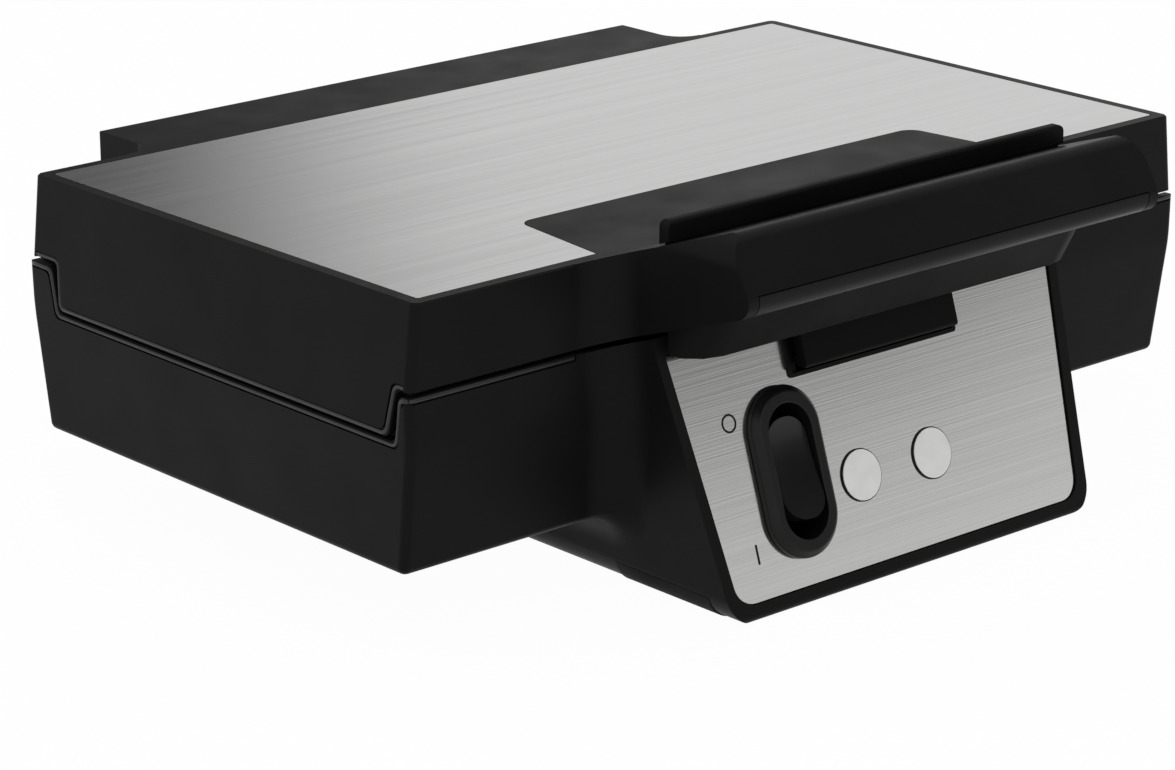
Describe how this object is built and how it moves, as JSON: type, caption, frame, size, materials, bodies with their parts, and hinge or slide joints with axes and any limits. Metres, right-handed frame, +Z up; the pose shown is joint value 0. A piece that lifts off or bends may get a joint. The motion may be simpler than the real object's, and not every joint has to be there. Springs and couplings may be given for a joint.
{
  "type": "donut maker",
  "caption": "Closed electric donut maker: black moulded base and hinged lid with steel top, handle and latch clip in front, sloping steel control panel with rocker switch and lamps.",
  "frame": {"origin": "on the surface it stands on, below the middle of the overall box", "axes": "+X to the right seen from the front, +Y to the back where the hinge is, +Z up"},
  "size_m": [0.2624, 0.222, 0.0982],
  "materials": {
    "black_plastic": "satin black moulding",
    "lip_plastic": "satin black moulding, a little smoother",
    "switch_plastic": "polished black moulding",
    "inner_plastic": "natural nylon",
    "brushed_steel": "brushed from side to side",
    "lens_white": "pale diffusing lens",
    "bulb_glass": "clear glass",
    "coated_aluminium": "dark non-stick coating on cast aluminium",
    "element_steel": "heat-darkened tube",
    "shield_aluminium": "plain sheet",
    "zinc_steel": "zinc-plated",
    "ceramic": "unglazed insulator",
    "gland_rubber": "black rubber",
    "foot_rubber": "black rubber"
  },
  "bodies": {
    "base": {"base_shell": "black_plastic", "bottom_cover": "black_plastic", "control_panel": "brushed_steel", "switch_bezel": "switch_plastic", "switch_body": "inner_plastic", "power_lamp_lens": "lens_white", "ready_lamp_lens": "lens_white", "power_lamp_bulb": "bulb_glass", "ready_lamp_bulb": "bulb_glass", "lower_mould_plate": "coated_aluminium", "lower_heating_element": "element_steel", "lower_heat_shield": "shield_aluminium", "lower_plate_screws": "zinc_steel", "cover_screws": "zinc_steel", "hinge_pin_left": "zinc_steel", "hinge_pin_right": "zinc_steel", "terminal_block": "inner_plastic", "thermostat": "ceramic", "thermal_fuse": "shield_aluminium", "cord_gland": "gland_rubber", "front_foot_left": "foot_rubber", "front_foot_right": "foot_rubber", "rear_foot_left": "foot_rubber", "rear_foot_right": "foot_rubber"},
    "lid": {"lid_shell": "black_plastic", "lid_top_plate": "brushed_steel", "handle_lip": "lip_plastic", "handle_screws": "zinc_steel", "latch_pin": "zinc_steel", "latch_spring": "zinc_steel", "upper_mould_plate": "coated_aluminium", "upper_heating_element": "element_steel", "upper_heat_shield": "shield_aluminium", "upper_plate_screws": "zinc_steel"},
    "latch": {"latch_clip": "black_plastic"},
    "rocker": {"switch_rocker": "switch_plastic"}
  },
  "joints": [
    {"name": "lid_hinge", "type": "hinge", "parent": "base", "child": "lid", "pos_m": [0, 0.105, 0.0647], "axis": [-1, 0, 0], "range_deg": [0, 100]},
    {"name": "latch_pivot", "type": "hinge", "parent": "lid", "child": "latch", "pos_m": [0, -0.0826, 0.0827], "axis": [-1, 0, 0], "range_deg": [0, 10], "deforming": ["latch_spring"]},
    {"name": "switch_pivot", "type": "hinge", "parent": "base", "child": "rocker", "pos_m": [-0.0342, -0.08521, 0.02937], "axis": [1, 0, 0], "range_deg": [0, 14]}
  ]
}
